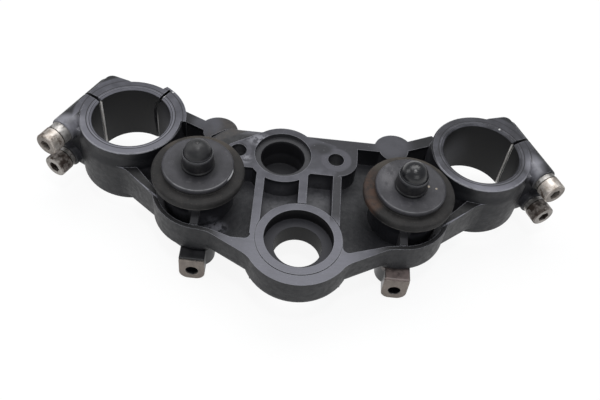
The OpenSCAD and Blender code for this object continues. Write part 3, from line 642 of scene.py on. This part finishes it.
discLook = {
    "dark": (0.026, 0.0255, 0.029), "grey": (0.05, 0.049, 0.056), "pale": (0.1, 0.097, 0.104),
    "darkNearCollar": (0.011, 0.011, 0.013), "edge": (0.12, 0.119, 0.12),
    "nick": (0.55, 0.55, 0.56), "grit": (0.3, 0.26, 0.21),
}
discFinish = {"depth": 0.00005, "edge": 0.00015, "gloss": 0.3, "metal": 0.1}
discSpans = {
    "frontRimHighlight": (0.0178, 0.0184, 0.0001), "rimLineZ": (0.0148, 0.0152), "rimLineY": (0.016, 0.024),
    "nickOut": (0.01845, 0.0186), "nickZ": (0.0145, 0.015),
}
discSides = {
    "left": {"at": mirrored(bushAt), "shift": (0, 0, 0), "darkNearCollar": (0.0085, 0.0145), "share": 0.9,
             "frontRimHighlight": (0.13, 0.13, 0.135)},
    "right": {"at": bushAt, "shift": (0.3, 0.1, 0), "darkNearCollar": (0.0085, 0.0118), "share": 0.5,
              "frontRimHighlight": (0.09, 0.09, 0.095)},
}
discSpots = {
    "nick": [((-0.0383, 0.0243, 0.0152), 0.003, 0.35, (1.2, 0.8, 1))],
    "scuffed": [((0.0437, 0.0355, 0.0158), 0.0062, 0.6, (1.5, 0.7, 1))],
    "grit": [((0.0654, 0.0301, 0.0158), 0.0007, 0.3), ((0.0694, 0.029, 0.0158), 0.0006, 0.3)],
}


def makeDisc(side):
    look = discSides[side]
    shift = look["shift"]
    p = Paint(side + "Disc")
    cloud = p.noise(75, 4, 0.6, shift=shift)
    scuff = p.noise(140, 4, 0.65, stretch=(1.8, 1, 1), shift=shift)
    fine = p.noise(800, 3, 0.6, shift=shift)
    out = p.radius(look["at"])
    darkNearCollar = p.both(p.fall(out, *look["darkNearCollar"]), p.ramp(p.nz, 0.8, 0.95))
    frontRimHighlight = p.both(p.band(out, *discSpans["frontRimHighlight"]), p.ramp(p.z, *discSpans["rimLineZ"]),
                     p.fall(p.y, *discSpans["rimLineY"]))
    tone = p.layers(
        p.mix(p.ramp(cloud, 0.3, 0.75), discLook["dark"], discLook["grey"]),
        (p.both(p.ramp(scuff, 0.5, 0.72, 0.0, 0.5), p.ramp(fine, 0.35, 0.6)), discLook["pale"]),
        # the washer darker towards the collar
        (p.times(darkNearCollar, look["share"]), discLook["darkNearCollar"]),
        # painted highlight along the front rim
        (p.both(frontRimHighlight, p.ramp(cloud, 0.35, 0.55, 0.3, 1.0)), look["frontRimHighlight"]),
        # light edges, partly wear and partly painted highlight
        (p.both(p.edgeMask(0.0004), p.ramp(cloud, 0.35, 0.55, 0.3, 0.8)), discLook["edge"]),
    )
    if side == "left":
        nick = p.both(p.spots(discSpots["nick"]), p.ramp(out, *discSpans["nickOut"]),
                      p.ramp(p.z, *discSpans["nickZ"]))
        tone = p.mix(nick, tone, discLook["nick"])
    else:
        scuffed = p.both(p.spots(discSpots["scuffed"]), p.ramp(scuff, 0.35, 0.6))
        tone = p.layers(tone, (scuffed, discLook["pale"]), (p.spots(discSpots["grit"]), discLook["grit"]))
    return p.done(tone, p.ramp(scuff, 0.3, 0.7, 0.4, 0.58), p.noise(500, 3, 0.55, shift=shift), **discFinish)


for side in discSides:
    dress(makeDisc(side), side + "_disc_washer")


# Collar nuts: black, with a paler lip and top, partly where the coat has gone and partly painted highlight, and a
# painted shadow at the foot

collarLook = {
    "coat": (0.009, 0.009, 0.0105), "haze": (0.022, 0.021, 0.022), "lip": (0.11, 0.108, 0.11),
    "top": (0.035, 0.035, 0.039), "foot": (0.005, 0.005, 0.006),
}
collarFinish = {"depth": 0.00004, "edge": 0.0003, "gloss": 0.4}
collarSpans = {"top": (0.0236, 0.0242), "foot": (0.0165, 0.018)}


def makeCollar():
    p = Paint("collarCoat")
    cloud = p.noise(220, 4, 0.6)
    tone = p.layers(
        p.mix(p.ramp(cloud, 0.35, 0.7), collarLook["coat"], collarLook["haze"]),
        # paler lip and top: partly coat gone from the edge, partly painted highlight
        (p.both(p.edgeMask(0.0004), p.ramp(cloud, 0.35, 0.6, 0.3, 1.0)), collarLook["lip"]),
        (p.ramp(p.z, *collarSpans["top"]), collarLook["top"]),
        # painted shadow at the foot of the collar
        (p.fall(p.z, *collarSpans["foot"]), collarLook["foot"]),
    )
    return p.done(tone, p.ramp(cloud, 0.3, 0.7, 0.34, 0.5), p.noise(700, 3, 0.55), **collarFinish)


dress(makeCollar(), "left_collar_nut", "right_collar_nut")


# Risers: black domed studs, glossy on the right and dusty on the left, bare front of the lugs, with painted light
# and shade on the domes, in the lugs' threaded bores and on the right lug's stain

riserLook = {
    "coat": (0.0065, 0.0065, 0.008), "haze": (0.02, 0.02, 0.022), "dust": (0.05, 0.048, 0.046),
    "lugDark": (0.075, 0.06, 0.05), "lug": (0.125, 0.1, 0.083), "lugPale": (0.2, 0.17, 0.147),
    "stainAndFill": (0.2, 0.16, 0.15), "brightEdge": (0.33, 0.29, 0.25), "domeFootFill": (0.08, 0.08, 0.085),
    "pipShade": (0.004, 0.004, 0.005), "hole": (0.012, 0.011, 0.01),
}
riserFinish = {"depth": 0.0004, "edge": 0.0003}
riserSpans = {
    "crown": (0.026, 0.033), "dome": (0.026, 0.028), "domeFootFill": (0.0236, 0.0257, 0.0002),
    "pip": (0.0004, 0.0011), "pipShade": (0.0008, 0.0014, 0.0003),
    "lugFront": (-0.00595, -0.0058), "stainY": (0.0, 0.003), "stainZ": (-0.024, -0.0215),
    "rimY": (-0.0052, -0.0045), "rimZ": (-0.0215, -0.021),
    "holeMouth": (-0.0042, -0.003), "holeEnd": (0.004, 0.006), "holeOut": (0.0033, 0.0036),
}
riserSides = {
    "left": {"at": mirrored(bushAt), "shift": (0, 0, 0), "haze": 0.5, "rough": (0.38, 0.55),
             "grain": 0.08, "pip": 0.7, "pipHeight": 0.7, "gloss": 0.45},
    "right": {"at": bushAt, "shift": (0.2, 0.3, 0), "haze": 0.2, "rough": (0.27, 0.29),
              "grain": 0.0, "pip": 0.3, "pipHeight": 0.15, "gloss": 0.5},
}


def makeRiser(side):
    look = riserSides[side]
    shift = look["shift"]
    p = Paint(side + "RiserCoat")
    cloud = p.noise(160, 4, 0.6, shift=shift)
    fine = p.noise(900, 3, 0.6, shift=shift)
    streak = p.noise(420, 4, 0.62, stretch=(1, 1, 0.5), shift=shift)

    # the coat, with dust on the left dome and a brown stain on the right lug, lightened as painted light against the
    # yoke's shadow
    bare = p.both(p.fall(p.y, *riserSpans["lugFront"]), p.fall(p.ny, -0.9, -0.7))
    plain = p.mix(p.ramp(streak, 0.3, 0.7), riserLook["lug"], riserLook["lugPale"])
    plain = p.mix(p.ramp(cloud, 0.52, 0.7, 0.0, 0.7), plain, riserLook["lugDark"])
    tone = p.mix(p.ramp(cloud, 0.3, 0.7, 0.0, look["haze"]), riserLook["coat"], riserLook["haze"])
    if side == "left":
        dusty = p.both(p.ramp(p.z, *riserSpans["crown"]), p.ramp(p.nz, 0.1, 0.9), p.ramp(cloud, 0.3, 0.6, 0.0, 0.25))
        tone = p.mix(dusty, tone, riserLook["dust"])
    tone = p.mix(bare, tone, plain)
    if side == "right":
        faces = p.either(p.fall(p.ny, -0.4, -0.2), p.ramp(p.nz, 0.7, 0.9))
        stainAndFill = p.both(p.fall(p.y, *riserSpans["stainY"]), faces, p.nots(bare), p.ramp(p.z, *riserSpans["stainZ"]),
                       p.ramp(cloud, 0.3, 0.6, 0.4, 1.0))
        # brown stain, lightened as painted light where the yoke shades it
        tone = p.mix(stainAndFill, tone, riserLook["stainAndFill"])

    # edges, the pip on the dome with painted shade round it, the stud's foot lightened, and painted shade deep in
    # the lug's threaded bore
    rim = p.both(p.edgeMask(0.0005), p.fall(p.y, *riserSpans["rimY"]), p.fall(p.z, *riserSpans["rimZ"]),
                 p.ramp(streak, 0.35, 0.55))
    fromPip = p.radius(look["at"])
    onDome = p.ramp(p.z, *riserSpans["dome"])
    pip = p.both(onDome, p.fall(fromPip, *riserSpans["pip"]))
    pipShade = p.both(onDome, p.band(fromPip, *riserSpans["pipShade"]))
    fromHole = p.length(p.minus(p.absX, lugHoleAt.x), p.minus(p.z, lugHoleAt.z))
    hole = p.both(p.ramp(p.y, *riserSpans["holeMouth"]), p.ramp(p.hollow(0.004, 0.2, 0.6), 0.3, 0.8),
                  p.fall(p.y, *riserSpans["holeEnd"]), p.fall(fromHole, *riserSpans["holeOut"]))
    tone = p.layers(
        tone,
        (rim, riserLook["brightEdge"]),
        # painted light: the stud's foot lightened against the shade in the gap to the collar
        (p.band(p.z, *riserSpans["domeFootFill"]), riserLook["domeFootFill"]),
        # painted shade round the pip
        (pipShade, riserLook["pipShade"]),
        # the pip lighter, partly dust and partly painted highlight
        (p.times(pip, look["pip"]), riserLook["dust"]),
        # painted shade deep in the lug's threaded bore
        (hole, riserLook["hole"]),
    )
    rough = p.blend(bare, p.ramp(cloud, 0.3, 0.7, *look["rough"]), p.ramp(streak, 0.3, 0.7, 0.45, 0.65))
    bump = p.plus(p.times(fine, look["grain"]), p.times(pip, look["pipHeight"]))
    return p.done(tone, rough, bump, gloss=look["gloss"], **riserFinish)


for side in riserSides:
    dress(makeRiser(side), side + "_riser")
print("bushes and risers painted")


# Pinch screws and their washers: old zinc plate, the lower ones brown with rust, painted shade in the gap under the
# heads, and corners darkened by grime and painted shade

plateLook = {
    "agedPlate": {"dark": (0.3, 0.26, 0.225), "light": (0.6, 0.56, 0.52), "grime": (0.1, 0.075, 0.06),
                  "from": 0.5, "metal": 0.7, "face": (0.17, 0.15, 0.135)},
    "rustyPlate": {"dark": (0.17, 0.145, 0.13), "light": (0.4, 0.37, 0.345), "grime": (0.05, 0.036, 0.029),
                   "from": 0.42, "metal": 0.55, "face": (0.3, 0.28, 0.26)},
    "springPlate": {"dark": (0.2, 0.19, 0.18), "light": (0.5, 0.48, 0.46), "grime": (0.05, 0.042, 0.038),
                    "from": 0.5, "metal": 0.75},
    "plainTube": {"dark": (0.3, 0.29, 0.28), "light": (0.45, 0.44, 0.43), "grime": (0.1, 0.09, 0.08),
                  "from": 0.6, "metal": 0.8},
}
plateFinish = {"depth": 0.00005, "edge": 0.00015}
gapShadeAndGrime = {"line": (0.03, 0.024, 0.02), "corner": (0.014, 0.012, 0.01)}

# the painted shade line between head and washer lies further out where the left upper washer is thick
gapSpans = {"thick": (0.019, 0.0198, 0.0001), "thin": (0.0166, 0.0173, 0.0001), "upperZ": (-0.006, -0.005)}


def makePlate(name):
    look = plateLook[name]
    p = Paint(name)
    cloud = p.noise(260, 4, 0.65)
    dirt = p.noise(150, 5, 0.68, shift=(0.2, 0, 0.1))
    tone = p.layers(
        p.mix(p.ramp(cloud, 0.3, 0.7), look["dark"], look["light"]),
        (p.ramp(dirt, look["from"], look["from"] + 0.14), look["grime"]),
    )
    if "face" in look:
        facing = p.along(p.math("ABSOLUTE", p.nx), p.ny, slitTurn - quarter)
        tone = p.mix(p.both(p.ramp(facing, 0.9, 0.97), p.ramp(cloud, 0.35, 0.6, 0.6, 1.0)), tone, look["face"])
    out = p.along(p.absX, p.y, slitTurn - quarter)
    right = p.ramp(p.x, -0.001, 0.001)
    upper = p.ramp(p.z, *gapSpans["upperZ"])
    thick = p.both(p.band(out, *gapSpans["thick"]), p.nots(right), upper)
    thin = p.both(p.band(out, *gapSpans["thin"]), p.either(right, p.nots(upper)))
    tone = p.layers(
        tone,
        # painted shade in the gap between head and washer
        (p.either(thick, thin), gapShadeAndGrime["line"]),
        # darker corners: partly grime, partly painted shade
        (p.hollow(0.0045, 0.35, 0.75), gapShadeAndGrime["corner"]),
    )
    return p.done(tone, p.ramp(dirt, 0.3, 0.7, 0.34, 0.62), cloud, metal=look["metal"], **plateFinish)


dress(makePlate("agedPlate"), "left_upper_pinch_screw", "right_upper_pinch_screw")
dress(makePlate("rustyPlate"), "left_lower_pinch_screw", "right_lower_pinch_screw")
dress(makePlate("springPlate"), "left_upper_spring_washer", "right_upper_spring_washer",
      "left_lower_spring_washer", "right_lower_spring_washer")
dress(makePlate("plainTube"), "left_spacer_sleeve", "right_spacer_sleeve")
print("screws painted")
